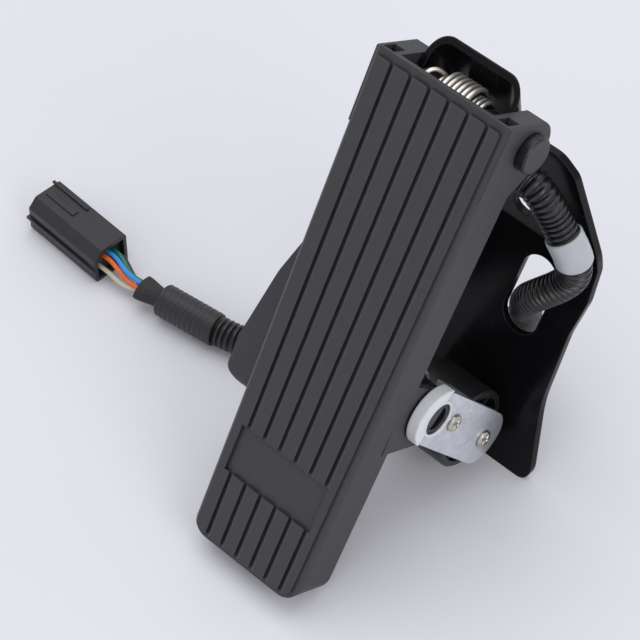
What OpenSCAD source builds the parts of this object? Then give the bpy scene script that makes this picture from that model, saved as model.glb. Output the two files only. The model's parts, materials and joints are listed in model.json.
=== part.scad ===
// Floor accelerator pedal. A ribbed moulded treadle hinges on a bent steel base plate.
// A lever with a roller follows the plate and turns the position sensor's shaft.
// Millimetres. X runs along the hinge, Y points away from the treadle's front, Z is up.
// The pedal stands as an A: the treadle's toe and the plate's foot are on the table.

/* [Stance] */
// Lean of the treadle from the table, in degrees
treadle_lean = 59.4; // [57:0.1:61]
// Lean of the plate's lower part from the table, in degrees
plate_lean = 73.6; // [72:0.1:75]
// Tilt of the plate's upper part toward the treadle, in degrees
upper_tilt = 8; // [6:0.5:10]

/* [Treadle] */
// From the hinge axis to the toe end
toe_reach = 213.5; // [200:0.5:225]
// From the hinge axis to the heel end
heel_reach = 11.4; // [11:0.2:13]
// Hinge axis below the pads' tops
hinge_depth = 21.5; // [20.5:0.5:24]
// Half width at the heel
heel_hw = 34; // [33:0.5:36]
// Half width at the toe
toe_hw = 29.4; // [28:0.2:31]
// Depth of the side walls below the pads' tops
skirt_depth = 22; // [20:0.5:24]
// Side wall
skirt_wall = 3; // [2.4:0.2:3.4]
// Floor under the pads
floor_t = 2.6; // [2:0.2:3.2]
// Plan radius of the toe corners
toe_corner = 9; // [6:0.5:12]
// Radius along the long upper edges
shoulder_r = 3; // [1.5:0.5:3.5]
// Number of lengthwise pads
pad_count = 7; // [5:1:9]
// Height of the pads
pad_h = 1.6; // [1:0.1:2.2]
// Width of a groove between pads
groove_w = 2.5; // [2:0.1:3]
// Flat floor of a groove, beside the slope up to the next pad
groove_floor = 0.6; // [0.4:0.1:1]
// Grooves' spacing at the heel ends of the pads
groove_pitch = 9.6; // [9:0.1:9.8]
// Grooves' spacing at the toe, as a share of that at the heel
groove_fan = 0.856; // [0.82:0.004:0.9]
// Bare strip at the heel end, before the pads
heel_strip = 3.5; // [2:0.5:6]
// Bare strip at the toe end
toe_strip = 2; // [1:0.5:4]
// Corner radius of a pad
pad_corner = 1.5; // [0.8:0.1:2]
// Plain field: near edge from the hinge axis
field_from = 158.5; // [150:0.5:165]
// Plain field: length
field_len = 22; // [16:0.5:28]
// Plain field: half width
field_hw = 23.8; // [20:0.2:25]
// Underside ribs across
rib_count = 5; // [3:1:7]
// Rib thickness
rib_t = 1.8; // [1.4:0.2:2.4]
// Rib depth under the floor
rib_depth = 5; // [4:0.5:8]

/* [Ears] */
// Ear thickness along the hinge
ear_t = 10.5; // [9.5:0.5:11]
// Radius round the hinge axis
ear_r = 13; // [12:0.25:13.5]
// Pocket in the ear's end face, along the hinge
ear_pocket_w = 5.6; // [4:0.2:6.4]
// Pocket in the ear's end face, through the treadle's depth
ear_pocket_h = 8; // [5:0.5:9]
// Depth of that pocket
ear_pocket_d = 5; // [3:0.5:6]

/* [Hinge] */
// Radius of the pivot pin
pin_r = 5; // [4.5:0.25:5.5]
// Radius of its head
pin_head_r = 8; // [7:0.25:9]
// Thickness of its head
pin_head_t = 4.4; // [3:0.2:6]
// Chamfer round the head
pin_chamfer = 0.7; // [0.3:0.1:1]
// Wall of the nylon bush in each ear
ear_bush_wall = 1.6; // [1.2:0.2:2]
// Thickness of the hinge bracket
bracket_t = 2.4; // [2:0.1:2.8]
// Half width of the hinge bracket
bracket_hw = 22.9; // [21:0.1:23]
// Outer bend radius of the hinge bracket
bracket_bend = 9; // [7:0.5:11]
// Rim of the bracket over the hinge axis, square to the treadle
bracket_rim = 4.7; // [4:0.2:7]
// Slope of the rim down from the treadle's face, in degrees
rim_slope = 14; // [10:1:18]
// Reach of the bracket's legs past the hinge axis
bracket_leg = 11; // [9:0.5:12]
// Height of the hinge axis above the bracket's foot
bracket_drop = 32; // [26:1:36]
// Height of the hinge axis above the legs' lower edge
leg_drop = 15; // [11:0.5:16]

/* [Return spring] */
// Wire radius of the outer coil
outer_wire_r = 1.1; // [0.9:0.1:1.2]
// Mean radius of the outer coil
outer_coil_r = 10.2; // [9.9:0.1:10.4]
// Turns of the outer coil
outer_turns = 6.5; // [5.5:1:7.5]
// Spacing of the turns of the outer coil
outer_pitch = 2.5; // [2.3:0.1:2.6]
// Left end of the coils, left of the middle plane
coil_left = 11; // [9:0.5:12]
// Wire radius of the inner coil
inner_wire_r = 0.9; // [0.7:0.1:1]
// Mean radius of the inner coil
inner_coil_r = 7.5; // [7.3:0.1:7.6]
// Turns of the inner coil
inner_turns = 11.5; // [9.5:1:12.5]
// Spacing of the turns of the inner coil
inner_pitch = 2.1; // [1.9:0.05:2.2]
// Radius of the spool inside the coils
spool_r = 6; // [5.7:0.1:6.2]

/* [Base plate] */
// Plate thickness
plate_t = 3.2; // [2.5:0.1:4]
// Inside radius of the bend
bend_r = 5; // [3:0.5:8]
// Hinge axis to the front face of the plate's upper part
plate_standoff = 14.7; // [14:0.1:16]
// Height of the hinge axis above the bend
bend_drop = 74.2; // [71:0.2:77]
// Height of the plate's top edge above the bend, along the plate
upper_h = 60.3; // [56:0.5:64]
// Half width across the wings
wing_hw = 54.5; // [52:0.5:58]
// Half width of the top edge
top_hw = 36.5; // [34:0.5:40]
// Half width at the waist
waist_hw = 48.1; // [46:0.5:51]
// Height of the waist above the foot, along the plate
waist_h = 41; // [36:1:48]
// Half width at the foot
foot_hw = 53.4; // [50:0.2:57]
// Height of the bolt holes above the bend
bolt_h = 11.4; // [9:0.2:13]
// Half spacing of the bolt holes
bolt_x = 16; // [14:0.5:20]
// Radius of the bolt holes
bolt_r = 5.2; // [4:0.1:5.6]
// Radius of the cable slot's ends
slot_r = 9; // [8.6:0.1:9.6]
// Cable slot: upper end below the bend, along the plate
slot_top = 17.8; // [15:0.2:20]
// Cable slot: lower end below the bend, along the plate
slot_bottom = 40.2; // [37:0.2:44]
// Cable slot: X of the upper end
slot_top_x = 29.4; // [28:0.2:31]
// Cable slot: X of the lower end
slot_bottom_x = 26.4; // [25:0.2:28]

/* [Lever] */
// Lever shaft from the hinge axis, along the treadle
shaft_along = 124.5; // [120:0.5:130]
// Lever shaft below the hinge axis, square to the treadle
shaft_below = 17; // [15:0.5:18]
// Radius of the lever shaft
shaft_r = 5.4; // [5:0.1:5.8]
// Wall of the shaft's bush
shaft_bush_wall = 1.6; // [1.2:0.1:2]
// Shaft to roller axle
lever_len = 50; // [48:0.5:52]
// Half width of the lever's cheeks
cheek_hw = 12.6; // [12.4:0.1:13.5]
// Cheek thickness
cheek_t = 2.5; // [2:0.1:3]
// Outer face of the right cheek from the middle plane
cheek_x = 37; // [36.6:0.1:39]
// Inner face of the left cheek from the middle plane
cheek_left_x = 3.6; // [3:0.2:6]
// Thickness of the nylon pad under the right cheek
nylon_t = 2.4; // [1.8:0.1:2.6]
// Radius of the nylon pad's round end
nylon_r = 13.6; // [12.6:0.2:14]
// Roller radius
roller_r = 19; // [18:0.25:19.5]
// Roller width
roller_w = 27; // [24:0.5:28]
// Radius of the roller axle
axle_r = 4; // [3:0.25:5]
// Gap between roller and plate at rest
roller_gap = 0.3; // [0.2:0.05:0.4]
// Wire radius of the lever spring
lever_wire_r = 1.1; // [0.8:0.1:1.2]
// Mean radius of the lever spring
lever_coil_r = 12.4; // [12.1:0.1:12.6]
// Turns of the lever spring
lever_turns = 6.5; // [4.5:1:7.5]
// Spacing of the turns of the lever spring
lever_pitch = 2.9; // [2.5:0.1:3]
// Radius of the spool inside the lever spring
lever_spool_r = 10.8; // [10.4:0.1:10.9]
// Wall of the treadle's side gussets
gusset_t = 4; // [3.4:0.2:4.4]
// Radius of the gusset's end round the shaft
gusset_r = 9.8; // [9.2:0.1:10]
// Gusset's toe edge from the shaft
gusset_toe = 17; // [14:0.5:20]

/* [Sensor housing] */
// Outer face of the housing from the middle plane
sensor_x = 47; // [45:0.5:50]
// Front face of the housing below the pads' tops
sensor_front = 10; // [8:0.5:13]
// Heel tip of the housing from the hinge axis
sensor_heel = 61; // [58:0.5:70]
// Toe face of the housing from the hinge axis
sensor_toe = 151; // [146:0.5:154]
// Thickness of the housing's cover
sensor_cover_t = 3; // [2:0.2:4]
// Radius of the cover screws' heads
sensor_screw_r = 3.4; // [2.6:0.1:3.8]

/* [Cable] */
// Outer radius of the corrugated conduit
conduit_r = 6.9; // [6:0.1:7.2]
// Length of the gland at the hinge
gland_len = 7; // [5:0.5:9]
// Wall of the clear sleeve and of the black sleeve
sleeve_wall = 0.9; // [0.5:0.1:1.2]
// Wire radius
wire_r = 1.1; // [0.8:0.1:1.3]
// Radius of the taped neck at the sleeve
neck_r0 = 4.6; // [3.6:0.2:6]
// Radius of the taped neck at the wires
neck_r1 = 6.4; // [5:0.2:7]
// Connector length
plug_len = 46; // [42:1:52]
// Connector width
plug_w = 19; // [17:0.5:22]
// Connector height
plug_h = 18; // [16:0.5:20]
// Chamfer along one upper edge of the connector
plug_chamfer = 4.5; // [3:0.5:6]

/* [Hidden] */
$fn = 48;
eps = 0.02;
run_gap = 0.06;
fit_gap = 0.05;
side_gap = 0.3;

// Treadle frame: hinge axis at 0, +y to the heel, +z out of the pads.
face_z = hinge_depth;
floor_z = face_z - pad_h;
under_z = floor_z - floor_t;
skirt_z = face_z - skirt_depth;
pad_toe = toe_reach - toe_strip;
pad_heel = heel_reach - heel_strip;
pin_h = toe_reach*sin(treadle_lean) - skirt_z*cos(treadle_lean);
taper = (heel_hw - toe_hw)/(heel_reach + toe_reach);
ear_in = heel_hw - ear_t;
ear_face = heel_hw - taper*heel_reach;
bush_r = pin_r + ear_bush_wall;

// Plate: the bend line, the foot and the middle of the whole part along Y.
bend_z = pin_h - bend_drop;
bend_y = plate_standoff/cos(upper_tilt) + bend_drop*tan(upper_tilt);
foot_y = bend_y - bend_z/tan(plate_lean);
lower_h = bend_z/sin(plate_lean);
y_front = -pad_toe*cos(treadle_lean) - face_z*sin(treadle_lean);
plate_low = [sin(plate_lean), -cos(plate_lean)];
plate_high = [cos(upper_tilt), sin(upper_tilt)];
mitre = (plate_low + plate_high)/(1 + plate_low*plate_high);
y_back = bend_y + bend_r + plate_t - bend_r*mitre[0];
y_shift = -(y_front + y_back)/2;

// Lever: its shaft in the plane of Y and Z, and the angle that lays the roller on the plate.
shaft_yz = [shaft_below*sin(treadle_lean) - shaft_along*cos(treadle_lean),
  pin_h - shaft_along*sin(treadle_lean) - shaft_below*cos(treadle_lean)];
shaft_off = -(shaft_yz[0] - foot_y)*sin(plate_lean) + shaft_yz[1]*cos(plate_lean);
lever_ang = plate_lean - 90 - acos((shaft_off - roller_r - roller_gap)/lever_len);
skirt_x = heel_hw - taper*(heel_reach + shaft_along);
cheek_in = cheek_x - cheek_t;
shaft_left = -sensor_x + sensor_cover_t + 2;
bush_out_r = shaft_r + shaft_bush_wall;
roller_x = cheek_in - 4;
shaft_collar_x = skirt_x - gusset_t - side_gap;

// A polygon's corners rounded to the radius given with each point as [x, y, r].
function corner(a, b, c) =
  let (u = (a - b)/norm(a - b), v = (c - b)/norm(c - b), half = acos(u*v)/2)
  [u, v, half];
function arc_points(p, q, r, s, n) =
  let (b = [q[0], q[1]], k = corner([p[0], p[1]], b, [r[0], r[1]]), u = k[0], v = k[1],
    half = k[2], reach = s/tan(half), mid = (u + v)/norm(u + v), o = b + mid*s/sin(half),
    a0 = atan2((b + u*reach - o)[1], (b + u*reach - o)[0]),
    a1 = atan2((b + v*reach - o)[1], (b + v*reach - o)[0]),
    d = a1 - a0 > 180 ? a1 - a0 - 360 : a1 - a0 < -180 ? a1 - a0 + 360 : a1 - a0)
  s < 0.05 ? [b] : [for (i = [0:n]) o + s*[cos(a0 + d*i/n), sin(a0 + d*i/n)]];
function rounded(p, n = 6) =
  [for (i = [0:len(p) - 1]) each
    arc_points(p[(i + len(p) - 1) % len(p)], p[i], p[(i + 1) % len(p)], p[i][2], n)];

// A tube swept along points: rings of n sides, each turned to face along the path.
function unit(v) = v/norm(v);
function ring(c, t, r, n, ref) =
  let (u = unit(cross(t, ref)), w = cross(u, t))
  [for (i = [0:n - 1]) c + r*(cos(360*i/n)*u + sin(360*i/n)*w)];
function tangent(p, i) =
  unit(p[min(i + 1, len(p) - 1)] - p[max(i - 1, 0)]);
module sweep(p, r, n = 8, ref = [0.11, 0.07, 1]) {
  m = len(p);
  pts = [for (i = [0:m - 1]) each ring(p[i], tangent(p, i), r, n, ref)];
  sides = [for (i = [0:m - 2], j = [0:n - 1])
    [i*n + j, i*n + (j + 1) % n, (i + 1)*n + (j + 1) % n, (i + 1)*n + j]];
  polyhedron(pts, concat(sides, [[for (j = [n - 1:-1:0]) j], [for (j = [0:n - 1]) (m - 1)*n + j]]));
}
// A smooth curve through route points, with k steps between neighbours.
function spline(p, k) =
  let (m = len(p))
  concat([for (i = [0:m - 2], s = [0:k - 1])
    let (a = p[max(i - 1, 0)], b = p[i], c = p[i + 1], d = p[min(i + 2, m - 1)], t = s/k)
    0.5*(2*b + (c - a)*t + (2*a - 5*b + 4*c - d)*t*t + (3*b - a - 3*c + d)*t*t*t)], [p[m - 1]]);
// A coil about the X axis from x0, with the points of a leg at each end.
function coil(r, x0, pitch, turns, a0, leg0, leg1) =
  let (steps = 16, m = turns*steps,
    body = [for (i = [0:m]) [x0 + pitch*i/steps, r*cos(a0 + 360*i/steps), r*sin(a0 + 360*i/steps)]])
  concat(leg0, body, leg1);
function leg(r, x, a, reach) = [x, r*cos(a) - reach*sin(a), r*sin(a) + reach*cos(a)];

// Frames
module at_base() translate([0, y_shift, 0]) children();
module at_treadle() at_base() translate([0, 0, pin_h]) rotate([treadle_lean, 0, 0]) children();
module at_upper() at_base() translate([0, 0, pin_h]) rotate([upper_tilt, 0, 0]) children();
module at_lower() at_base() translate([0, foot_y, 0]) rotate([plate_lean, 0, 0]) children();
module at_shaft() at_treadle() translate([0, -shaft_along, -shaft_below]) children();
module at_lever() at_shaft() rotate([lever_ang - treadle_lean, 0, 0]) children();
module along_x(x0, x1) translate([x0, 0, 0]) rotate([90, 0, 90]) linear_extrude(x1 - x0) children();
module rod(x0, x1, r) translate([x0, 0, 0]) rotate([0, 90, 0]) cylinder(h = x1 - x0, r = r);
module both_sides() {
  children();
  mirror([1, 0, 0]) children();
}

// Base plate: one sheet, bent, and cut to its outline as seen from the front.
module base_plate() color([0.03, 0.03, 0.035]) {
  low = plate_low;
  high = plate_high;
  front = [bend_y, bend_z];
  back = front + plate_t*mitre;
  foot = [foot_y, 0] - 4*[cos(plate_lean), sin(plate_lean)];
  top = front + (upper_h + 8)*[-sin(upper_tilt), cos(upper_tilt)];
  side = [[foot[0], foot[1], 0], [front[0], front[1], bend_r], [top[0], top[1], 0],
    [top[0] + plate_t*high[0], top[1] + plate_t*high[1], 0], [back[0], back[1], bend_r + plate_t],
    [foot[0] + plate_t*low[0], foot[1] + plate_t*low[1], 0]];
  rise = upper_h*cos(upper_tilt);
  half = [[foot_hw, 0, 6], [foot_hw - 0.4, 8, 12], [waist_hw, waist_h*sin(plate_lean), 60],
    [waist_hw + 2.6, bend_z - 34, 30], [wing_hw, bend_z - 16, 14], [wing_hw, bend_z + 9, 30],
    [top_hw + 7.5, bend_z + rise - 7, 8], [top_hw, bend_z + rise, 8]];
  difference() {
    intersection() {
      at_base() along_x(-wing_hw - 9, wing_hw + 9) polygon(rounded(side, 8));
      translate([0, 200, 0]) rotate([90, 0, 0]) linear_extrude(300) polygon(rounded(both_halves(half)));
    }
    at_lower() slot_hole();
    at_upper() translate([0, plate_standoff, -bend_drop/cos(upper_tilt) - plate_standoff*tan(upper_tilt)])
      both_sides() translate([bolt_x, -1, bolt_h]) rotate([-90, 0, 0]) cylinder(h = plate_t + 2, r = bolt_r);
  }
}
function both_halves(p) = concat(p, [for (i = [len(p) - 1:-1:0]) [-p[i][0], p[i][1], p[i][2]]]);
module slot_hole() {
  a = [slot_top_x, lower_h - slot_top];
  b = [slot_bottom_x, lower_h - slot_bottom];
  far = norm(a - b) + slot_r;
  r = slot_r - 0.05;
  translate([b[0], b[1], -plate_t - 1]) rotate([0, 0, -atan2(a[0] - b[0], a[1] - b[1])])
    linear_extrude(plate_t + 2) polygon(rounded([[slot_r, -slot_r, r], [slot_r, far, r],
      [-slot_r, far, r], [-slot_r, -slot_r, r]], 14));
}

// Hinge bracket: a bent channel welded to the plate, its rim cut square to the treadle.
module hinge_bracket() color([0.03, 0.03, 0.035]) {
  tall = 80;
  difference() {
    at_upper() translate([0, 0, -bracket_drop]) difference() {
      linear_extrude(tall) polygon(rounded([[bracket_hw, -bracket_leg, 0],
        [bracket_hw, plate_standoff, bracket_bend], [-bracket_hw, plate_standoff, bracket_bend],
        [-bracket_hw, -bracket_leg, 0]], 10));
      translate([0, 0, -1]) linear_extrude(tall + 2)
        polygon(rounded([[bracket_hw - bracket_t, -bracket_leg - 5, 0],
          [bracket_hw - bracket_t, plate_standoff - bracket_t, bracket_bend - bracket_t],
          [-bracket_hw + bracket_t, plate_standoff - bracket_t, bracket_bend - bracket_t],
          [-bracket_hw + bracket_t, -bracket_leg - 5, 0]], 10));
      for (x = [-50, bracket_hw - bracket_bend]) translate([x, -50, -1])
        cube([50 - bracket_hw + bracket_bend, 100, bracket_drop - leg_drop + 1]);
    }
    at_treadle() translate([0, 0, bracket_rim]) rotate([-rim_slope, 0, 0]) translate([-50, -100, 0])
      cube([100, 200, 100]);
    at_treadle() rod(-bracket_hw - 1, bracket_hw + 1, pin_r + fit_gap);
  }
}

// Pivot pin with its round head on the right, a clip groove on the left.
module pivot_pin() color([0.06, 0.06, 0.065]) at_treadle() {
  difference() {
    rod(-ear_face - 3.4, ear_face + side_gap, pin_r);
    difference() {
      rod(-ear_face - 2, -ear_face - 0.8, pin_r + 1);
      rod(-ear_face - 3, -ear_face, pin_r - 1);
    }
  }
  rod(ear_face + side_gap, ear_face + side_gap + pin_head_t - pin_chamfer, pin_head_r);
  translate([ear_face + side_gap + pin_head_t - pin_chamfer, 0, 0]) rotate([0, 90, 0])
    cylinder(h = pin_chamfer, r1 = pin_head_r, r2 = pin_head_r - pin_chamfer);
}
module pin_clip() color([0.35, 0.35, 0.36]) at_treadle() difference() {
  rod(-ear_face - 1.9, -ear_face - 0.9, pin_r + 3);
  rod(-ear_face - 3, -ear_face, pin_r - 0.9);
  translate([-ear_face - 3, -2.6, -20]) cube([4, 5.2, 20]);
}

// Return spring: two coils, one inside the other, on a spool round the pin.
outer_end = outer_pitch*outer_turns - coil_left;
inner_start = -coil_left - outer_wire_r - inner_wire_r - side_gap;
inner_end = inner_start + inner_pitch*inner_turns;
module spring_outer() color([0.75, 0.73, 0.7]) at_treadle() sweep(coil(outer_coil_r, -coil_left, outer_pitch,
  outer_turns, -60, [leg(outer_coil_r, -coil_left, -60, -14)],
  [leg(outer_coil_r, outer_end, 360*outer_turns - 60, 12)]), outer_wire_r, 8, [1, 0.05, 0.03]);
module spring_inner() color([0.75, 0.73, 0.7]) at_treadle() sweep(coil(inner_coil_r, inner_start, inner_pitch,
  inner_turns, 0, [for (q = spline(spring_hook, 3)) [inner_start - q[0], q[1], q[2]]],
  [leg(inner_coil_r, inner_end, 360*inner_turns, 8)]), inner_wire_r, 6, [1, 0.05, 0.03]);
// The hook at the coil's left end: distance left of the coil, then Y and Z.
spring_hook = [[4.6, -12, 10], [4.6, 1, 10], [4.2, 7.6, 8.6], [2.6, 9.8, 5.6], [0.8, 8.9, 2.4]];
module spring_spool() color([0.08, 0.08, 0.085]) at_treadle() difference() {
  half = bracket_hw - bracket_t - side_gap;
  union() {
    rod(-half, half, spool_r);
    both_sides() rod(half - 2, half - 0.6, spool_r + 1.2);
  }
  rod(-half - 1, half + 1, pin_r + run_gap);
}

// Treadle: an open-bottomed moulding with pads, ears, ribs and a gusset on each side.
module treadle_plan(inset) polygon(rounded([
  [heel_hw - inset, heel_reach - inset, max(1.5 - inset, 0.2)],
  [toe_hw - inset, -toe_reach + inset, toe_corner - inset],
  [-toe_hw + inset, -toe_reach + inset, toe_corner - inset],
  [-heel_hw + inset, heel_reach - inset, max(1.5 - inset, 0.2)]], 8));
module shoulder_cut() {
  turn = atan(taper);
  translate([heel_hw, heel_reach, floor_z]) rotate([90, 0, -turn])
    translate([0, 0, -5]) linear_extrude(heel_reach + toe_reach + 10) difference() {
      translate([-shoulder_r, -shoulder_r]) square(shoulder_r + 2);
      translate([-shoulder_r, -shoulder_r]) circle(r = shoulder_r, $fn = 32);
    }
}
function fan(y) = 1 - (1 - groove_fan)*(pad_heel - y)/(pad_heel + pad_toe);
function groove_x(i, y) = (i - pad_count/2)*groove_pitch*fan(y);
function edge_x(y) = heel_hw - taper*(heel_reach - y) - shoulder_r - 0.1;
// Left and right edge of pad i at y: a groove lies to the right of each line.
function pad_left(i, y) = i == 0 ? -edge_x(y) : groove_x(i, y) + groove_floor;
function pad_right(i, y) = i == pad_count - 1 ? edge_x(y) : groove_x(i + 1, y);
module pad(i, y0, y1, r0, r1) translate([0, 0, floor_z - eps]) linear_extrude(pad_h + eps)
  polygon(rounded([[pad_right(i, y1), y1, r1], [pad_right(i, y0), y0, r0],
    [pad_left(i, y0), y0, r0], [pad_left(i, y1), y1, 0.2]], 5));
// The slope up to the pad at the right of groove i.
module groove_slope(i) {
  x0 = pad_left(i, pad_heel);
  lean = atan((x0 - pad_left(i, -pad_toe))/(pad_heel + pad_toe));
  translate([x0, pad_heel, floor_z]) rotate([90, 0, -lean]) translate([0, 0, -5])
    linear_extrude(pad_heel + pad_toe + 10)
      polygon([[-0.1, 0], [0, 0], [groove_w - groove_floor, pad_h], [groove_w - groove_floor, pad_h + 1],
        [-0.1, pad_h + 1]]);
}
module pads() difference() {
  intersection() {
    for (i = [0:pad_count - 1]) pad(i, -pad_toe, pad_heel, 0.4, pad_corner);
    translate([0, 0, floor_z - 1]) linear_extrude(pad_h + 2) treadle_plan(toe_strip);
  }
  for (i = [1:pad_count - 1]) groove_slope(i);
  translate([-field_hw, -field_from - field_len, floor_z]) cube([2*field_hw, field_len, pad_h + 1]);
}
module ear() intersection() {
  along_x(ear_in, heel_hw) difference() {
    union() {
      circle(r = ear_r, $fn = 64);
      polygon([[heel_reach, 0], [heel_reach, floor_z - 1], [-skirt_depth, floor_z - 1],
        [-ear_r - 8, skirt_z], [-ear_r*cos(45) - 1, -ear_r*sin(45) - 1], [0, -6]]);
    }
    translate([heel_reach, -20]) square(20);
  }
  translate([0, 0, -50]) linear_extrude(100) treadle_plan(0);
}
module ear_pocket() translate([ear_in + 2.4, heel_reach - ear_pocket_d, floor_z - 1.4 - ear_pocket_h])
  cube([ear_pocket_w, ear_pocket_d + 1, ear_pocket_h]);
module gusset() translate([0, -shaft_along, -shaft_below]) {
  // The slanted edge from the skirt touches a circle round the shaft, which rounds the corner.
  a = atan2(shaft_below, 15) - acos(gusset_r/norm([15, shaft_below]));
  along_x(skirt_x - gusset_t, skirt_x) polygon(rounded([[15, shaft_below + 4, 0], [15, shaft_below, 0],
    [gusset_r*(1 + sin(a))/cos(a), -gusset_r, gusset_r], [-gusset_toe, -gusset_r, 5],
    [-gusset_toe, shaft_below + 4, 0]], 14));
}
module ribs() {
  step = (toe_reach - skirt_wall - 24)/rib_count;
  for (i = [1:rib_count - 1]) translate([-heel_hw, -24 - i*step, under_z - rib_depth])
    cube([2*heel_hw, rib_t, rib_depth + eps]);
  for (x = [-1, 1]) translate([x*10 - rib_t/2, -toe_reach, under_z - rib_depth])
    cube([rib_t, toe_reach - 20, rib_depth + eps]);
}
module treadle() color([0.13, 0.13, 0.14]) at_treadle() difference() {
  union() {
    difference() {
      translate([0, 0, skirt_z]) linear_extrude(skirt_depth - pad_h) treadle_plan(0);
      translate([0, 0, skirt_z - 1]) linear_extrude(under_z - skirt_z + 1) treadle_plan(skirt_wall);
      translate([-ear_in, -skirt_depth, skirt_z - 1]) cube([2*ear_in, 60, under_z - skirt_z + 1]);
      both_sides() shoulder_cut();
    }
    intersection() {
      ribs();
      translate([0, 0, skirt_z]) linear_extrude(skirt_depth - pad_h) treadle_plan(1);
    }
    pads();
    both_sides() {
      ear();
      gusset();
    }
  }
  both_sides() ear_pocket();
  rod(-heel_hw - 1, heel_hw + 1, bush_r);
  translate([0, -shaft_along, -shaft_below]) rod(-skirt_x - 1, skirt_x + 1, bush_out_r);
}
module ear_bushes() color([0.82, 0.8, 0.74]) at_treadle() both_sides() difference() {
  rod(ear_in, ear_face - 0.3, bush_r);
  rod(ear_in - 1, heel_hw + 1, pin_r + run_gap);
}

// Sensor housing on the left gusset, with a cover held by three screws.
sensor_plan = [[skirt_x - 1.4, -sensor_heel, 1], [sensor_x - 6, -sensor_toe + 54, 30],
  [sensor_x, -sensor_toe + 20, 16], [sensor_x, -sensor_toe + 4, 5],
  [sensor_x - 8, -sensor_toe, 8], [toe_hw - 2, -sensor_toe, 0], [toe_hw - 2, -sensor_heel - 8, 0]];
sensor_side = [[-sensor_heel + 1, face_z - sensor_front, 2], [-sensor_heel - 4, -4, 4],
  [-shaft_along + 24, -shaft_below - 14, 10], [-sensor_toe, -shaft_below - 14, 10],
  [-sensor_toe, face_z - sensor_front, 4]];
module sensor_body(x0, x1) mirror([1, 0, 0]) intersection() {
  along_x(x0, x1) polygon(rounded(sensor_side, 5));
  translate([0, 0, -60]) linear_extrude(120) difference() {
    polygon(rounded(sensor_plan, 6));
    treadle_plan(0);
  }
}
module sensor_housing() color([0.1, 0.1, 0.11]) at_treadle() difference() {
  sensor_body(skirt_x, sensor_x - sensor_cover_t);
  translate([0, -shaft_along, -shaft_below]) rod(shaft_left - 1, 0, shaft_r + run_gap);
}
module sensor_cover() color([0.09, 0.09, 0.1]) at_treadle() sensor_body(sensor_x - sensor_cover_t, sensor_x + 1);
module sensor_screws() color([0.6, 0.6, 0.62]) at_treadle()
  for (p = [[-sensor_toe + 10, face_z - sensor_front - 8], [-sensor_toe + 10, -shaft_below - 6],
    [-sensor_toe + 24, (face_z - sensor_front - shaft_below - 14)/2]])
    translate([0, p[0], p[1]]) difference() {
      rod(-sensor_x - 1.4, -sensor_x, sensor_screw_r);
      for (a = [0, 90]) rotate([a, 0, 0]) translate([-sensor_x - 2, -0.5, -1.8]) cube([1.3, 1, 3.6]);
    }

// Lever: a zinc-plated cheek on each side, a nylon pad, and the roller between.
module cheek_shape(from) difference() {
  polygon(rounded([[from, -cheek_hw, 0], [lever_len + cheek_hw, -cheek_hw, cheek_hw - 1],
    [lever_len + cheek_hw, cheek_hw, cheek_hw - 1], [from, cheek_hw, 0]], 10));
  circle(r = bush_out_r + side_gap, $fn = 64);
}
module lever_right() color([0.78, 0.79, 0.82]) at_lever() difference() {
  union() {
    along_x(cheek_in, cheek_x) cheek_shape(-1.5);
    along_x(skirt_x + 1.2, cheek_in + eps) translate([-1.5, cheek_hw - cheek_t]) square([24, cheek_t]);
    along_x(shaft_collar_x - 3, skirt_x + 1.3) translate([8, cheek_hw - cheek_t]) square([14, cheek_t]);
  }
  translate([0, lever_len, 0]) rod(cheek_in - 1, cheek_x + 1, axle_r + fit_gap);
}
module lever_left() color([0.78, 0.79, 0.82]) at_lever() difference() {
  along_x(-cheek_left_x - cheek_t, -cheek_left_x) difference() {
    union() {
      circle(r = cheek_hw, $fn = 64);
      cheek_shape(0);
    }
    circle(r = shaft_r + fit_gap);
  }
  translate([0, lever_len, 0]) rod(-cheek_left_x - 5, 0, axle_r + fit_gap);
}
module lever_nylon() color([0.86, 0.86, 0.84]) at_lever() difference() {
  union() {
    rod(cheek_in - nylon_t, cheek_in, cheek_hw - cheek_t - side_gap);
    intersection() {
      rod(cheek_in - nylon_t, cheek_x, nylon_r);
      translate([0, -nylon_r - 1.5 - side_gap, -nylon_r]) cube([50, nylon_r, 2*nylon_r]);
    }
  }
  rod(0, 60, bush_out_r + side_gap);
}
module lever_shaft() color([0.12, 0.12, 0.13]) at_lever() difference() {
  union() {
    rod(shaft_left, cheek_x - 1.2, shaft_r);
  }
  translate([cheek_x - 3.6, 1.4, -shaft_r]) cube([5, shaft_r, 2*shaft_r]);
}
module shaft_bushes() color([0.2, 0.2, 0.21]) at_shaft() {
  difference() {
    rod(skirt_x - gusset_t, cheek_x - 0.6, bush_out_r);
    rod(0, 60, shaft_r + run_gap);
  }
  difference() {
    rod(-skirt_x, -skirt_x + gusset_t, bush_out_r);
    rod(-60, 0, shaft_r + run_gap);
  }
}
module lever_spool() color([0.08, 0.08, 0.085]) at_lever() difference() {
  rod(-cheek_left_x + side_gap, shaft_collar_x, lever_spool_r);
  rod(-20, 60, shaft_r + fit_gap);
}
module lever_spring() color([0.78, 0.76, 0.72]) at_lever()
  sweep(coil(lever_coil_r, 3, lever_pitch, lever_turns, 160,
    [leg(lever_coil_r, 3, 160, -9)], [leg(lever_coil_r, 3 + lever_pitch*lever_turns, 160 + 360*lever_turns, 9)]),
    lever_wire_r, 8, [1, 0.05, 0.03]);
module lever_screws() color([0.8, 0.79, 0.76]) at_lever() for (p = [[15, 1.3], [lever_len, 0]])
  translate([cheek_x, p[0], p[1]]) difference() {
    rod(0, 1.7, 4);
    for (a = [0, 90]) rotate([a, 0, 0]) translate([0.5, -0.6, -2.2]) cube([2, 1.2, 4.4]);
  }
module roller_axle() color([0.6, 0.6, 0.62]) at_lever() translate([0, lever_len, 0])
  rod(-cheek_left_x - cheek_t - 0.6, cheek_x, axle_r);
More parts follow.
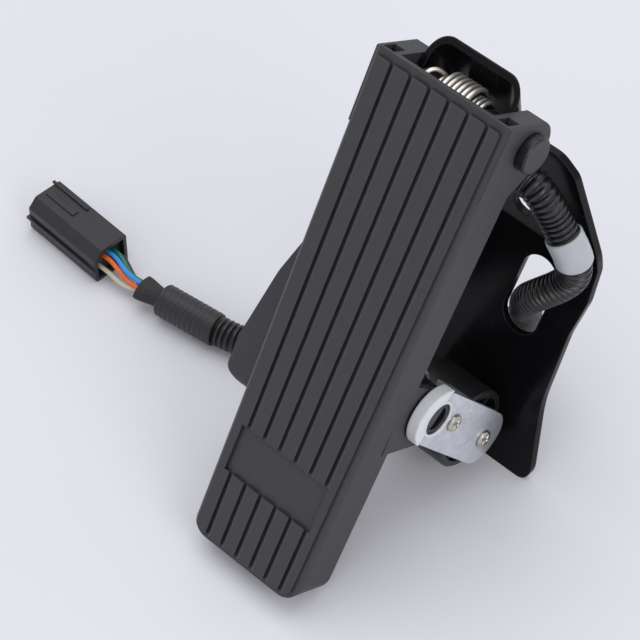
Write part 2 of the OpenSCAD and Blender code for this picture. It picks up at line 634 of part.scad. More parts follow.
module roller() color([0.06, 0.06, 0.065]) at_lever() translate([0, lever_len, 0]) {
  x0 = roller_x - roller_w;
  rim = 3.2;
  hub = axle_r + 3;
  deep = 6;
  rotate([0, 90, 0]) rotate_extrude($fn = 96) polygon([[axle_r + run_gap, x0 + 0.4],
    [hub, x0 + 0.4], [hub, x0 + deep], [roller_r - rim, x0 + deep], [roller_r - rim, x0],
    [roller_r - 0.8, x0], [roller_r, x0 + 0.8], [roller_r, roller_x - 0.8],
    [roller_r - 0.8, roller_x], [roller_r - rim, roller_x], [roller_r - rim, roller_x - deep],
    [hub, roller_x - deep], [hub, roller_x - 0.4], [axle_r + run_gap, roller_x - 0.4]]);
  for (x = [x0 + 1.2, roller_x - deep - 0.5], a = [0:60:300]) rotate([a, 0, 0])
    translate([x, -1, hub - 1]) cube([deep - 0.7, 2, roller_r - rim - hub + 2]);
}

// Cable: the conduit's route from the gland under the hinge, through the slot, round the
// plate's left edge and along the table. Points are X, Y from the hinge axis, and height.
hang = pin_h - 184;
gland_at = [13, 7.15, 160.4 + hang];
conduit_route = [[13.3, 7.15, 160.4 + hang], [24, 7.1, 160.4 + hang], [32, 7.4, 158.4], [37.2, 8.9, 152.5],
  [41, 10.8, 144.5], [45.3, 12, 136], [49, 12.9, 129], [51, 13.9, 122], [50.6, 14.8, 115], [48.4, 14.3, 109.3],
  [44.8, 12.9, 104], [40.6, 11.6, 99], [36.2, 11.2, 93.5], [32, 12.1, 87.5], [28.6, 14.8, 81],
  [25.3, 18.5, 73.6], [22.6, 22.2, 66], [20, 26.2, 57.4], [16, 31.6, 46], [9.5, 36.5, 32], [-2, 42, 19],
  [-17, 44, 10.5], [-34, 41.5, 7.6], [-50, 34, 7.6], [-62, 19, 7.6], [-67, 0, 7.6], [-71, -20, 7.6],
  [-80, -36, 7.6], [-97, -41.5, 7.8]];
conduit_path = spline(conduit_route, 3);
function lift(p, y) = [for (q = p) [q[0], q[1] + y, q[2]]];
module conduit() color([0.08, 0.08, 0.085]) at_base() sweep(conduit_path, conduit_r, 10);
sleeve_span = [14, 22];
module hollow_sweep(p, r, wall, n = 10) {
  m = len(p);
  q = m*n;
  e = q - n;
  pts = [for (k = [r + wall, r], i = [0:m - 1]) each ring(p[i], tangent(p, i), k, n, [0.11, 0.07, 1])];
  outside = [for (i = [0:m - 2], j = [0:n - 1])
    [i*n + j, i*n + (j + 1) % n, (i + 1)*n + (j + 1) % n, (i + 1)*n + j]];
  inside = [for (f = outside) [f[0] + q, f[3] + q, f[2] + q, f[1] + q]];
  ends = [for (j = [0:n - 1]) each [
    [(j + 1) % n, j, q + j, q + (j + 1) % n],
    [e + j, e + (j + 1) % n, q + e + (j + 1) % n, q + e + j]]];
  polyhedron(pts, concat(outside, inside, ends));
}
module clear_sleeve() color([0.8, 0.82, 0.85, 0.7]) at_base()
  hollow_sweep([for (i = [sleeve_span[0]:sleeve_span[1]]) conduit_path[i]], conduit_r + 0.2, sleeve_wall);

// The gland on the bracket's web that the conduit comes out of.
module cable_gland() color([0.07, 0.07, 0.075]) at_base() translate(gland_at)
  rod(-gland_len, 0, conduit_r + 1.3);

// Far end on the table: sleeve, taped neck, five wires and the connector.
cord_end = conduit_path[len(conduit_path) - 1];
cord_way = unit(cord_end - conduit_path[len(conduit_path) - 2]);
sleeve_a = cord_end + 0.1*cord_way;
sleeve_b = [-127, -45.7, 8.3];
neck_b = sleeve_b + 12*unit(sleeve_b - sleeve_a);
wire_end = -3.1;
plug_at = [-161, -45.3, 0.2];
plug_turn = 177;
module black_sleeve() color([0.07, 0.07, 0.075]) at_base() sweep([sleeve_a, sleeve_a + cord_way,
  0.3*sleeve_a + 0.7*sleeve_b, sleeve_b], conduit_r + sleeve_wall, 16);
module tape_neck() color([0.04, 0.04, 0.045]) at_base() {
  way = neck_b - sleeve_b;
  translate(sleeve_b + 0.05*unit(way)) rotate([0, 0, atan2(way[1], way[0])])
    rotate([0, 90 - atan2(way[2], norm([way[0], way[1]])), 0])
      cylinder(h = norm(way), r1 = neck_r0, r2 = neck_r1);
}
// The wires leave the neck on a small circle and enter the connector in two rows.
module wire(i, z) at_base() {
  a = 234 - 72*i;
  sweep(spline([neck_b + [-0.7, 2.1*cos(a), 2.1*sin(a)], neck_b + [-9, 1.7*(i - 2), 2.6*sin(a)],
    [plug_at[0] + 3, plug_at[1] + 2.6*(i - 2), 9.3 + 1.8*z],
    [plug_at[0] + wire_end + 2.6*(i - 2)*tan(180 - plug_turn), plug_at[1] + 2.6*(i - 2), 9.3 + 1.8*z]],
    4), wire_r, 8);
}
module wire_cream() color([0.85, 0.82, 0.74]) wire(0, -1.4);
module wire_orange() color([0.93, 0.45, 0.2]) wire(1, 1.2);
module wire_blue() color([0.2, 0.52, 0.9]) wire(2, 1.6);
module wire_green() color([0.08, 0.45, 0.38]) wire(3, 1.2);
module wire_black() color([0.06, 0.06, 0.065]) wire(4, -1.4);
module at_plug() at_base() translate(plug_at) rotate([0, 0, plug_turn]) children();
module connector() color([0.06, 0.06, 0.065]) at_plug() difference() {
  union() {
    translate([0, 0, plug_h/2]) along_x(0, plug_len) polygon(rounded([
      [plug_w/2, plug_h/2 - plug_chamfer, 1.5], [plug_w/2 - plug_chamfer, plug_h/2, 1.5], [-plug_w/2, plug_h/2, 1],
      [-plug_w/2, -plug_h/2, 1.5], [plug_w/2, -plug_h/2, 1.5]], 4));
    translate([plug_len/2, -plug_w/2 + 2.2, plug_h - eps]) cube([plug_len/2 + 1.2, 1.3, 1]);
    translate([0, plug_w/2 - 1, plug_h*0.36]) cube([plug_len + 1.2, 2, 1.4]);
  }
  translate([5, plug_w/2 - 0.7, plug_h*0.36 + 1.4 + eps]) cube([plug_len, 2, 1.6]);
  translate([-1, -plug_w/2 + 1.8, 1.8]) cube([9, plug_w - plug_chamfer - 1.8, plug_h - 3.6]);
  translate([-1, -plug_w/2 + 1.8, 1.8]) cube([9, plug_w - 3.6, plug_h - plug_chamfer - 3]);
  translate([plug_len - 16, -plug_w/2 + 1.6, 1.6]) cube([18, plug_w - plug_chamfer - 1.6, plug_h - 3.2]);
  translate([plug_len - 16, -plug_w/2 + 1.6, 1.6]) cube([18, plug_w - 3.2, plug_h - plug_chamfer - 2.8]);
}
module connector_lock() color([0.05, 0.05, 0.055]) at_plug() translate([plug_len/2 + 2, -2.7, plug_h])
  cube([plug_len/2 - 4, 3.4, 0.5]);
module connector_seal() color([0.2, 0.2, 0.21]) at_plug() translate([3.2, -plug_w/2 + 1.85, 1.85]) {
  cube([4.8, plug_w - plug_chamfer - 1.9, plug_h - 3.7]);
  cube([4.8, plug_w - 3.7, plug_h - plug_chamfer - 3.1]);
}

base_plate();
hinge_bracket();
pivot_pin();
pin_clip();
spring_outer();
spring_inner();
spring_spool();
treadle();
ear_bushes();
sensor_housing();
sensor_cover();
sensor_screws();
lever_right();
lever_left();
lever_nylon();
lever_shaft();
shaft_bushes();
lever_spool();
lever_spring();
lever_screws();
roller_axle();
roller();
cable_gland();
conduit();
clear_sleeve();
black_sleeve();
tape_neck();
wire_cream();
wire_orange();
wire_blue();
wire_green();
wire_black();
connector();
connector_lock();
connector_seal();
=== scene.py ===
import json
import math

import bpy
import numpy as np
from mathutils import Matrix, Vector


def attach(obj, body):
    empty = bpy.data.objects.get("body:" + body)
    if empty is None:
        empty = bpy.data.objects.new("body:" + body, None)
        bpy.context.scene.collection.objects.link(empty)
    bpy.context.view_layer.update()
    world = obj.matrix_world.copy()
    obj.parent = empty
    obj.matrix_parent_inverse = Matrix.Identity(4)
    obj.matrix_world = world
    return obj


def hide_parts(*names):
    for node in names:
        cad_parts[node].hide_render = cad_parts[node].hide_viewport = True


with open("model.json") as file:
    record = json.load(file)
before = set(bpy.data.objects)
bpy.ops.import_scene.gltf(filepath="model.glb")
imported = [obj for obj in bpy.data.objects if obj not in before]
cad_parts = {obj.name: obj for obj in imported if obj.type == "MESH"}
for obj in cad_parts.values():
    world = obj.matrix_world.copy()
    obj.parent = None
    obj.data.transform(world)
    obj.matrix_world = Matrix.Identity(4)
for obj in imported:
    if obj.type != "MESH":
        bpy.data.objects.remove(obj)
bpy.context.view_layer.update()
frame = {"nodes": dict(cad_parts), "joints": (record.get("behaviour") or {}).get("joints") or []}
print("frame loaded,", len(frame["nodes"]), "nodes")

joints = {joint["name"]: joint for joint in frame["joints"]}
hinge = np.array(joints["treadle_hinge"]["pos_m"])
leverAxis = np.array(joints["lever_swing"]["pos_m"])
treadleLean = 59.4
leverTurn = -53.36
mm = 0.001

# Camera and light

view = {
    "place": (0.4626, -0.5189, 0.9202),
    "direction": (-0.4441, 0.4697, -0.763),
    "lens": 151.9,
    "sensor": 36,
    "nearest": 0.05,
}
studio = {
    "worldColour": (0.93, 0.95, 1.0, 1),
    "worldStrength": 0.70,
    "aim": (0, 0, 0.1),
    "lamps": {
        "keyLight": {"place": (-0.35, 0.25, 1.5), "size": 1.7, "power": 8.6},
        "sideLight": {"place": (1.3, -0.3, 0.9), "size": 0.9, "power": 5.5},
    },
    "floorHalf": 4,
    "floorColour": (0.79, 0.783, 0.82, 1),
    "floorRoughness": 0.8,
    "floorShine": 0.2,
}


def lookAlong(direction):
    return Vector(direction).to_track_quat("-Z", "Y").to_euler()


def makeCamera(s):
    camera = bpy.data.cameras.new("photoCamera")
    camera.lens = s["lens"]
    camera.sensor_width = s["sensor"]
    camera.clip_start = s["nearest"]
    rig = bpy.data.objects.new("photoCamera", camera)
    rig.location = s["place"]
    rig.rotation_euler = lookAlong(s["direction"])
    bpy.context.scene.collection.objects.link(rig)
    bpy.context.scene.camera = rig


def makeLamp(name, lamp, aim):
    light = bpy.data.lights.new(name, "AREA")
    light.shape = "DISK"
    light.size = lamp["size"]
    light.energy = lamp["power"]
    rig = bpy.data.objects.new(name, light)
    rig.location = lamp["place"]
    rig.rotation_euler = lookAlong(Vector(aim) - Vector(lamp["place"]))
    bpy.context.scene.collection.objects.link(rig)


def makeFloor(s):
    far = s["floorHalf"]
    corners = [(-far, -far, 0), (far, -far, 0), (far, far, 0), (-far, far, 0)]
    mesh = bpy.data.meshes.new("floor")
    mesh.from_pydata(corners, [], [(0, 1, 2, 3)])
    floor = bpy.data.objects.new("floor", mesh)
    bpy.context.scene.collection.objects.link(floor)
    paper = bpy.data.materials.new("tablePaper")
    paper.use_nodes = True
    shader = paper.node_tree.nodes["Principled BSDF"]
    shader.inputs["Base Color"].default_value = s["floorColour"]
    shader.inputs["Roughness"].default_value = s["floorRoughness"]
    shader.inputs["Specular IOR Level"].default_value = s["floorShine"]
    mesh.materials.append(paper)


def makeStudio(s):
    bpy.context.scene.view_settings.view_transform = "Standard"
    world = bpy.data.worlds.new("studio")
    bpy.context.scene.world = world
    world.use_nodes = True
    back = world.node_tree.nodes["Background"]
    back.inputs["Color"].default_value = s["worldColour"]
    back.inputs["Strength"].default_value = s["worldStrength"]
    for name, lamp in s["lamps"].items():
        makeLamp(name, lamp, s["aim"])
    makeFloor(s)


makeCamera(view)
makeStudio(studio)
print("camera and studio made")

# Surfaces from arrays


def addObject(name, points, faces):
    mesh = bpy.data.meshes.new(name)
    mesh.from_pydata(np.asarray(points).reshape(-1, 3).tolist(), [], faces)
    mesh.polygons.foreach_set("use_smooth", np.ones(len(mesh.polygons), bool))
    mesh.update()
    piece = bpy.data.objects.new(name, mesh)
    bpy.context.scene.collection.objects.link(piece)
    return piece


# Quads of a grid of points, row by row. Each row closes on itself, and the last row can join the first.
def gridFaces(rows, columns, first=0, closeRows=False):
    rowStarts = np.arange(rows if closeRows else rows - 1)
    i, j = np.meshgrid(rowStarts, np.arange(columns), indexing="ij")
    n, k = (i + 1) % rows, (j + 1) % columns
    corners = [i * columns + j, i * columns + k, n * columns + k, n * columns + j]
    return (np.stack(corners, -1).reshape(-1, 4) + first).tolist()


# The grid with a cap on each end: a fan round the middle of the row.
def cappedGrid(grid, first=0):
    rows, columns = grid.shape[:2]
    points = np.vstack([grid.reshape(-1, 3), grid[0].mean(0)[None], grid[-1].mean(0)[None]])
    j = np.arange(columns)
    k = (j + 1) % columns
    low, high = rows * columns, rows * columns + 1
    last = (rows - 1) * columns
    fans = np.vstack([
        np.stack([np.full(columns, low), k, j], 1),
        np.stack([np.full(columns, high), last + j, last + k], 1),
    ]) + first
    return points, gridFaces(rows, columns, first) + fans.tolist()


# Catmull-Rom: between two points, the cubic whose end slopes are half the gap between their neighbours.
def smoothPath(route, steps):
    p = np.array(route, float)
    a, b, c, d = np.vstack([p[:1], p[:-2]]), p[:-1], p[1:], np.vstack([p[2:], p[-1:]])
    a, b, c, d = (q[:, None, :] for q in (a, b, c, d))
    t = (np.arange(steps) / steps)[None, :, None]
    square, cube = 2 * a - 5 * b + 4 * c - d, 3 * b - a - 3 * c + d
    curve = 0.5 * (2 * b + (c - a) * t + square * t**2 + cube * t**3)
    return np.vstack([curve.reshape(-1, 3), p[-1:]])


# The same line with its points one step apart, and the distance run at each.
def evenly(path, step):
    run = np.r_[0, np.cumsum(np.linalg.norm(np.diff(path, axis=0), axis=1))]
    s = np.linspace(0, run[-1], int(round(run[-1] / step)) + 1)
    return s, np.stack([np.interp(s, run, path[:, i]) for i in range(3)], 1)


def unit(vector):
    return vector / np.linalg.norm(vector)


# Ring point = centre + radius (cos a U + sin a V), with U and V square to the path.
def ringGrid(path, radius, sides, reference=(0.11, 0.07, 1)):
    along = np.gradient(path, axis=0)
    along /= np.linalg.norm(along, axis=1)[:, None]
    u = np.cross(along, reference)
    u /= np.linalg.norm(u, axis=1)[:, None]
    v = np.cross(along, u)
    a = np.linspace(0, 2 * np.pi, sides, endpoint=False)[None, :, None]
    radius = np.broadcast_to(np.asarray(radius, float).reshape(-1, 1, 1), (len(path), 1, 1))
    return path[:, None] + radius * (np.cos(a) * u[:, None] + np.sin(a) * v[:, None])


def tube(name, path, radius, sides, reference=(0.11, 0.07, 1)):
    points, faces = cappedGrid(ringGrid(path, radius, sides, reference))
    return addObject(name, points, faces)


# A point of the treadle's or the lever's own plane (x, y, z) turned by an angle about X and set on an axis.
def onAxis(points, axis, degrees):
    p = np.asarray(points, float) * mm
    c, s = math.cos(math.radians(degrees)), math.sin(math.radians(degrees))
    turned = [p[..., 0], c * p[..., 1] - s * p[..., 2], s * p[..., 1] + c * p[..., 2]]
    return np.stack(turned, -1) + axis


# Quarter-round ends: how far the wall has dropped, 1 at an end and 0 past the rounding, and how far in each
# point lies, 0 at an end and 1 past the rounding.
def endDrop(run, rounding):
    inward = np.minimum(np.minimum(run, run[-1] - run) / rounding, 1)
    return 1 - np.sqrt(1 - (1 - inward) ** 2), inward


# Cable

cable = {
    "route": [
        [13.3, 7.15, 160.42], [24, 7.1, 160.42], [32, 7.4, 158.4], [37.2, 8.9, 152.5],
        [41, 10.8, 144.5], [45.3, 12, 136], [49, 12.9, 129], [51, 13.9, 122], [50.6, 14.8, 115],
        [48.4, 14.3, 109.3], [44.8, 12.9, 104], [40.6, 11.6, 99], [36.2, 11.2, 93.5],
        [32, 12.1, 87.5], [28.6, 14.8, 81], [25.3, 18.5, 73.6], [22.6, 22.2, 66],
        [20, 26.2, 57.4], [16, 31.6, 46], [9.5, 36.5, 32], [-2, 42, 19], [-17, 44, 10.5],
        [-34, 41.5, 7.6], [-50, 34, 7.6], [-62, 19, 7.6], [-67, 0, 7.6], [-71, -20, 7.6],
        [-80, -36, 7.6], [-97, -41.5, 7.8],
    ],
    "radius": 6.9,
    "rootDepth": 1.25,
    "pitch": 2.7,
    "ringsPerRib": 12,
    "sides": 28,
    "knotSteps": 40,
    "handedEvery": 12,
}
ribShape = {"sharp": 1.9, "shift": 0.35, "full": 2.4}
clearWrap = {
    "from": 5,
    "to": 6.8,
    "radius": 7.9,
    "gap": 0.1,
    "rounding": 0.5,
    "drop": 0.35,
    "swell": 0.05,
    "knotSteps": 30,
    "step": 0.6,
    "sides": 40,
}
blackWrap = {
    "to": [-127, -45.7, 8.3],
    "gap": 0.1,
    "straight": 1,
    "bendAt": 0.7,
    "over": 0.85,
    "rootDepth": 0.2,
    "rounding": 0.9,
    "knotSteps": 3,
    "step": 0.15,
    "sides": 40,
}
neck = {
    "length": 12,
    "start": 4.5,
    "wide": 6.6,
    "high": 4.4,
    "wall": 0.6,
    "folds": {"deep": 0.03, "count": 5, "turned": 1.2},
    "wrinkles": {"deep": 0.015, "count": 11},
    "rings": 40,
    "insideRings": 32,
    "sides": 72,
}
wires = {
    "nodes": ["wire_cream", "wire_orange", "wire_blue", "wire_green", "wire_black"],
    "radius": 1.1,
    "firstTurn": 234,
    "turnApart": 72,
    "bundleInside": {"x": 4, "radius": 1.9},
    "bundleMouth": {"x": -0.7, "radius": 2.1},
    "spread": {"x": -9, "apart": 1.7, "lift": 2.6},
    "plugAt": [-161, -45.3, 0.2],
    "plugTurn": 3,
    "plugFront": 3,
    "plugSeat": -3.1,
    "pinApart": 2.6,
    "pinHeight": 9.3,
    "pinRise": 1.8,
    "pinLift": [-1.4, 1.2, 1.6, 1.2, -1.4],
    "knotSteps": 20,
    "step": 0.5,
    "sides": 16,
}


# A point of the cable: X and height as given, Y from the hinge's axis.
def cablePoint(p):
    return (np.array(p, float) + [0, hinge[1] / mm, 0]) * mm


# Radius along the run: a rounded square wave, root + depth · smooth step of the cosine.
def corrugated(s, radius, depth, pitch):
    wave = np.cos(2 * np.pi * s / pitch)
    step = np.tanh(ribShape["sharp"] * (wave + ribShape["shift"])) / math.tanh(ribShape["full"])
    return radius - depth * np.clip(0.5 - 0.5 * step, 0, 1)


def makeConduit(c):
    fine = smoothPath(cablePoint(c["route"]), c["knotSteps"])
    s, path = evenly(fine, c["pitch"] * mm / c["ringsPerRib"])
    radius = corrugated(s, c["radius"] * mm, c["rootDepth"] * mm, c["pitch"] * mm)
    piece = tube("conduitTube", path, radius, c["sides"])
    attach(piece, "base")
    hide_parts("conduit")
    return piece, path, s[-1]


# Closed profile carried along a stretch: outer wall, rounded ends and inner wall.
def makeClearSleeve(c, w):
    fine = smoothPath(cablePoint(c["route"]), w["knotSteps"])
    low, high = round(w["from"] * w["knotSteps"]), round(w["to"] * w["knotSteps"])
    s, path = evenly(fine[low:high + 1], w["step"] * mm)
    drop, inward = endDrop(s, w["rounding"] * mm)
    swell = w["swell"] * mm * np.sin(2 * np.pi * s / (c["pitch"] * mm))
    outer = w["radius"] * mm - drop * w["drop"] * mm + swell * inward
    inner = (c["radius"] + w["gap"]) * mm
    walls = [ringGrid(path, outer, w["sides"]), ringGrid(path, inner, w["sides"])[::-1]]
    grid = np.concatenate(walls)
    faces = gridFaces(len(grid), w["sides"], closeRows=True)
    piece = addObject("clearSleeve", grid, faces)
    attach(piece, "base")
    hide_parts("clear_sleeve")
    return piece


# The sleeve leaves the conduit's end square to it, then runs straight to the neck, which goes on in line.
def sleeveLine(c, w):
    line = smoothPath(cablePoint(c["route"]), w["knotSteps"])
    way = unit(line[-1] - line[-2])
    start, end = line[-1] + w["gap"] * mm * way, cablePoint(w["to"])
    return start, way, end, unit(end - start)


def makeBlackSleeve(c, w):
    start, way, end, _ = sleeveLine(c, w)
    bend = (1 - w["bendAt"]) * start + w["bendAt"] * end
    corners = np.array([start, start + way * w["straight"] * mm, bend, end])
    run, path = evenly(corners, w["step"] * mm)
    ribs = corrugated(run, (c["radius"] + w["over"]) * mm, w["rootDepth"] * mm, c["pitch"] * mm)
    radius = ribs - w["rounding"] * mm * endDrop(run, w["rounding"] * mm)[0]
    piece = tube("blackSleeve", path, radius, w["sides"])
    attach(piece, "base")
    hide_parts("black_sleeve")
    return piece


# Flat flare: half width and half height run by a smooth step from round at the sleeve to an oval at the
# wires, with shallow folds along it, an inner wall and a closed foot.
def makeNeck(c, w, n):
    *_, foot, along = sleeveLine(c, w)
    side = unit(np.cross((0, 0, 1), along))
    up = np.cross(along, side)
    t = np.linspace(0, 1, n["rings"])[:, None]
    turn = np.linspace(0, 2 * np.pi, n["sides"], endpoint=False)[None, :]
    ease = t * t * (3 - 2 * t)
    wide = n["start"] + (n["wide"] - n["start"]) * ease
    high = n["start"] + (n["high"] - n["start"]) * ease
    fold, wrinkle = n["folds"], n["wrinkles"]
    folds = 1 + fold["deep"] * ease * np.sin(fold["count"] * turn + fold["turned"])
    folds = folds + wrinkle["deep"] * np.sin(wrinkle["count"] * turn)
    skins = []
    for inset in (0, n["wall"]):
        across = side * ((wide - inset) * folds * np.cos(turn))[..., None]
        upward = up * ((high - inset) * folds * np.sin(turn))[..., None]
        skins.append(foot + (along * (t * n["length"])[..., None] + across + upward) * mm)
    inside = skins[1][::-1][:n["insideRings"]]
    points, faces = cappedGrid(np.concatenate([skins[0], inside]))
    piece = addObject("tapeNeck", points, faces)
    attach(piece, "base")
    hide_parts("tape_neck")
    return piece


# Each wire leaves the neck on a circle of five, spreads flat and goes into its own place in the plug.
def wireKnots(w, i, mouth, plug):
    turn = math.radians(w["firstTurn"] - w["turnApart"] * i)
    column = i - len(w["nodes"]) // 2
    side = w["pinApart"] * column
    height = w["pinHeight"] + w["pinRise"] * w["pinLift"][i]
    skew = side * math.tan(math.radians(w["plugTurn"]))
    bundle = [
        [q["x"], q["radius"] * math.cos(turn), q["radius"] * math.sin(turn)]
        for q in (w["bundleInside"], w["bundleMouth"])
    ]
    spread = w["spread"]
    flat = [spread["x"], spread["apart"] * column, spread["lift"] * math.sin(turn)]
    fromMouth = mouth + np.array(bundle + [flat]) * mm
    fromPlug = [[w["plugFront"], side, height], [w["plugSeat"] + skew, side, height]]
    return np.vstack([fromMouth, plug + np.array(fromPlug) * mm])


def makeWires(c, w, n, wire):
    *_, foot, along = sleeveLine(c, w)
    mouth = foot + n["length"] * mm * along
    plug = cablePoint(wire["plugAt"])
    made = []
    for i, name in enumerate(wire["nodes"]):
        fine = smoothPath(wireKnots(wire, i, mouth, plug), wire["knotSteps"])
        path = evenly(fine, wire["step"] * mm)[1]
        piece = tube(name + "Lead", path, wire["radius"] * mm, wire["sides"])
        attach(piece, "base")
        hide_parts(name)
        made.append(piece)
    return made


conduit, conduitLine, conduitLength = makeConduit(cable)
clearSleeve = makeClearSleeve(cable, clearWrap)
blackSleeve = makeBlackSleeve(cable, blackWrap)
tapeNeck = makeNeck(cable, blackWrap, neck)
wireLeads = makeWires(cable, blackWrap, neck, wires)
onCable = [clearSleeve, blackSleeve, tapeNeck] + wireLeads
onCable += [frame["nodes"][n] for n in ("connector", "connector_lock", "connector_seal")]
print("cable made,", round(float(conduitLength), 3), "m of conduit")

# Springs

springs = {
    "outerCoil": {
        "node": "spring_outer", "body": "base", "axis": hinge, "turned": treadleLean,
        "wire": 1.1, "radius": 10.2, "start": -7.5, "pitch": 2.35, "turns": 5.5, "angle": 300,
        "legFrom": -14, "legTo": 12, "hook": [],
    },
    "innerCoil": {
        "node": "spring_inner", "body": "base", "axis": hinge, "turned": treadleLean,
        "wire": 0.9, "radius": 7.5, "start": -10.8, "pitch": 2.1, "turns": 10.5, "angle": 0,
        "legFrom": 0, "legTo": 8,
        "hook": [[4.6, -12, 10], [4.6, 1, 10], [4.2, 7.6, 8.6], [2.6, 9.8, 5.6], [0.8, 8.9, 2.4]],
    },
    "leverCoil": {
        "node": "lever_spring", "body": "lever", "axis": leverAxis, "turned": leverTurn,
        "wire": 1.1, "radius": 12.4, "start": 3, "pitch": 2.9, "turns": 6.5, "angle": 160,
        "legFrom": -9, "legTo": 9, "hook": [],
    },
}
coilDetail = {"perTurn": 64, "hookSteps": 12, "step": 0.4, "averaged": 5, "sides": 12}


# Leg: along the coil's tangent, (x, r cos a - reach sin a, r sin a + reach cos a).
def coilLeg(r, x, degrees, reach):
    a = math.radians(degrees)
    return [x, r * math.cos(a) - reach * math.sin(a), r * math.sin(a) + reach * math.cos(a)]


# Running mean of a few neighbours, which rounds the corner between a coil and its leg.
def softened(line, count):
    spare = count // 2
    padded = np.vstack([np.repeat(line[:1], spare, 0), line, np.repeat(line[-1:], spare, 0)])
    kernel = np.ones(count) / count
    return np.stack([np.convolve(padded[:, i], kernel, "valid") for i in range(3)], 1)


# Helix: x = start + pitch · turn, y and z = radius · (cos, sin) of the turn's angle, with a leg at each
# end.
def makeCoil(name, s, detail):
    turn = np.linspace(0, s["turns"], int(s["turns"] * detail["perTurn"]) + 1)
    angle = np.radians(s["angle"]) + 2 * np.pi * turn
    x, y, z = s["start"] + s["pitch"] * turn, s["radius"] * np.cos(angle), s["radius"] * np.sin(angle)
    body = np.stack([x, y, z], 1)
    if s["hook"]:
        hook = smoothPath(s["hook"], detail["hookSteps"])
        first = np.stack([s["start"] - hook[:, 0], hook[:, 1], hook[:, 2]], 1)
    else:
        first = np.array([coilLeg(s["radius"], s["start"], s["angle"], s["legFrom"])])
    last = coilLeg(s["radius"], body[-1][0], s["angle"] + 360 * s["turns"], s["legTo"])
    line = evenly(np.vstack([first, body, [last]]), detail["step"])[1]
    path = onAxis(softened(line, detail["averaged"]), s["axis"], s["turned"])
    piece = tube(name, path, s["wire"] * mm, detail["sides"], reference=(1, 0.05, 0.03))
    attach(piece, s["body"])
    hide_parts(s["node"])
    return piece


coils = [makeCoil(name, s, coilDetail) for name, s in springs.items()]
print("springs made")

# Screws and the nylon pad's lip

screws = {
    "places": [[37, 15, 1.3], [37, 50, 0]],
    "radius": 4.0,
    "height": 1.75,
    "bulge": 0.55,
    "rimSteep": 9,
    "rimPower": 0.4,
    "recess": 1.05,
    "arm": 2.3,
    "armFade": 7,
    "slot": 0.55,
    "slotFade": 9,
    "sunk": 0.01,
    "rings": 40,
    "sides": 96,
}
lip = {
    "profile": [
        [36.3, 8.6], [37.2, 8.6], [37.5, 8.35], [37.6, 8.0], [37.5, 7.65], [37.2, 7.4], [36.3, 7.4],
    ],
    "sides": 96,
}


# Smooth step down from 1 to 0 at an edge: 1 / (1 + e^((distance - edge) · steepness)).
def fades(distance, edge, steepness):
    return 1 / (1 + np.exp((distance - edge) * steepness))


# Pan head over a disc: height = dome(r), less a cross recess whose arms fade out at their ends.
def makeScrews(s):
    r = np.linspace(0, 1, s["rings"])[:, None] * np.ones((1, s["sides"]))
    a = np.linspace(0, 2 * np.pi, s["sides"], endpoint=False)[None, :] * np.ones((s["rings"], 1))
    y, z = s["radius"] * r * np.cos(a), s["radius"] * r * np.sin(a)
    rim = np.clip((1 - r) * s["rimSteep"], 0, 1) ** s["rimPower"]
    dome = s["height"] * np.sqrt(np.clip(1 - s["bulge"] * r**2, 0, 1)) * rim
    near = np.minimum(np.abs(y), np.abs(z))
    far = np.maximum(np.abs(y), np.abs(z))
    cross = fades(near, s["slot"], s["slotFade"]) * fades(far, s["arm"], s["armFade"])
    x = dome - s["recess"] * cross
    points, faces = [], []
    for place in s["places"]:
        cap = np.stack([x, y, z], -1)[::-1] + place
        base = cap[:1].copy()
        base[..., 0] = place[0] - s["sunk"]
        grid = onAxis(np.concatenate([base, cap]), leverAxis, leverTurn)
        headPoints, headFaces = cappedGrid(grid, sum(len(q) for q in points))
        points.append(headPoints)
        faces += headFaces
    piece = addObject("leverScrewHeads", np.vstack(points), faces)
    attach(piece, "lever")
    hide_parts("lever_screws")
    return piece


# Lathe: (x, radius) pairs turned about the lever's shaft, the white lip of the nylon pad round its bore.
def makeLip(s):
    profile = np.array(s["profile"])
    a = np.linspace(0, 2 * np.pi, s["sides"], endpoint=False)[None, :]
    x, r = profile[:, :1], profile[:, 1:]
    ring = np.stack([x + 0 * a, r * np.cos(a), r * np.sin(a)], -1)
    faces = gridFaces(len(profile), s["sides"], closeRows=True)
    piece = addObject("nylonLip", onAxis(ring, leverAxis, leverTurn), faces)
    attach(piece, "lever")
    return piece


screwHeads = makeScrews(screws)
nylonLip = makeLip(lip)
print("screws made")

# The effect that the finishes share: grain, random tones, lighter edges (wear and painted highlight),
# painted crease shade and painted slope light. Its inputs, each with the key that a finish gives it under.

inputs = {
    "Tone": "tone",
    "Worn Tone": "worn",
    "Patch Scale": "patch",
    "Grain Scale": "grain",
    "Grain Depth": "depth",
    "Grain Strength": "strength",
    "Smooth": "smooth",
    "Rough": "rough",
    "Edge Radius": "edge",
    "Edge Wear And Highlight Tone": "edgeWearAndHighlight",
    "Edge Wear And Highlight Amount": "edgeWearAndHighlightAmount",
    "Crease Reach": "reach",
    "Painted Crease Shade": "paintedCreaseShade",
    "Slope Painted Light Tone": "slope",
    "Slope Painted Light Amount": "sloped",
}
plain = {
    "tone": (0.05, 0.05, 0.05),
    "worn": (0.07, 0.07, 0.07),
    "patch": 60,
    "grain": 3000,
    "depth": 0.0001,
    "strength": 0.3,
    "smooth": 0.4,
    "rough": 0.6,
    "edge": 0.0004,
    # Edge tone and amount: a lighter edge, partly wear and partly a painted highlight.
    "edgeWearAndHighlight": (0.1, 0.1, 0.1),
    "edgeWearAndHighlightAmount": 0,
    # Crease reach and amount: painted shade that darkens creases and the gaps between parts.
    "reach": 0.001,
    "paintedCreaseShade": 0,
    # Slope tone and amount: painted light that lifts faces leaning to the left out of their shade.
    "slope": (0.1, 0.1, 0.1),
    "sloped": 0,
    "fixed": {},
}
